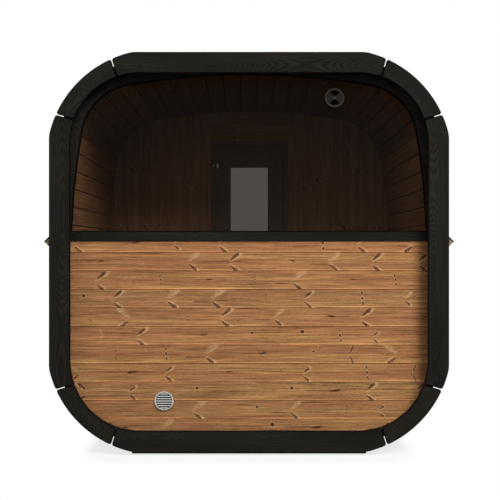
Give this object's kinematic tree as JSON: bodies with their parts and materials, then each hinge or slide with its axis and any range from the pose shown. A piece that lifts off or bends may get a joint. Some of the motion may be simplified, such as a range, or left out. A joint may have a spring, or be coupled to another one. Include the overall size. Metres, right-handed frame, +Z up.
{
  "type": "outdoor cabin sauna",
  "caption": "Square stave-built garden sauna with rounded corners, black trim rings, a half-height tinted window in one end and a glazed door in the other.",
  "frame": {"origin": "on the ground under the middle of the cabin, at the bottom centre of the bounding box", "axes": "+X across the cabin to the right seen from the window end, +Y from the window end to the door end, +Z up"},
  "size_m": [2.4694, 2.1, 2.422],
  "materials": {
    "black_timber": "black stained timber, satin, fine grain showing",
    "pine_staves": "heat-treated pine, planed, oiled, with knots",
    "pine_boards": "heat-treated pine boards, planed, with knots",
    "shingles": "black bitumen shingles with mineral grit",
    "tinted_glass": "grey-bronze tinted toughened glass",
    "vent_aluminium": "satin, natural",
    "graphite_metal": "graphite powder coat",
    "fitting_steel": "brushed stainless",
    "handle_wood": "turned heat-treated wood, oiled"
  },
  "bodies": {
    "cabin": {"cradles": "black_timber", "trim_front_top": "black_timber", "trim_front_bottom": "black_timber", "trim_front_sides": "black_timber", "trim_front_corners": "black_timber", "trim_rear_top": "black_timber", "trim_rear_bottom": "black_timber", "trim_rear_sides": "black_timber", "trim_rear_corners": "black_timber", "window_rail": "black_timber", "window_frame_sides": "black_timber", "window_frame_top": "black_timber", "window_frame_corners": "black_timber", "door_jambs": "black_timber", "door_head": "black_timber", "door_threshold": "black_timber", "shell_floor": "pine_staves", "shell_roof": "pine_staves", "shell_wall_left": "pine_staves", "shell_wall_right": "pine_staves", "shell_corners_upper": "pine_staves", "shell_corners_lower": "pine_staves", "drip_battens": "pine_staves", "window_wall": "pine_boards", "door_wall_left": "pine_boards", "door_wall_right": "pine_boards", "door_wall_over": "pine_boards", "door_wall_sill": "pine_boards", "roof_cover_top": "shingles", "roof_cover_corners": "shingles", "roof_cover_sides": "shingles", "window_glass": "tinted_glass", "vent_grille": "vent_aluminium", "vent_rosette": "graphite_metal", "hinges_frame_side": "fitting_steel", "catch_button": "fitting_steel"},
    "door": {"leaf_stile_latch": "black_timber", "leaf_stile_hinge": "black_timber", "leaf_rail_top": "black_timber", "leaf_rail_bottom": "black_timber", "leaf_glass": "tinted_glass", "hinges_leaf_side": "fitting_steel", "door_handles": "handle_wood", "catch_lug": "fitting_steel"},
    "shutter": {"vent_shutter": "graphite_metal"}
  },
  "joints": [
    {"name": "door_swing", "type": "hinge", "parent": "cabin", "child": "door", "pos_m": [0.2815, 0.963, 1.116], "axis": [0, 0, -1], "range_deg": [0, 110]},
    {"name": "vent_turn", "type": "hinge", "parent": "cabin", "child": "shutter", "pos_m": [0.525, -0.9147, 2.168], "axis": [0, 1, 0], "range_deg": [0, 90]}
  ]
}
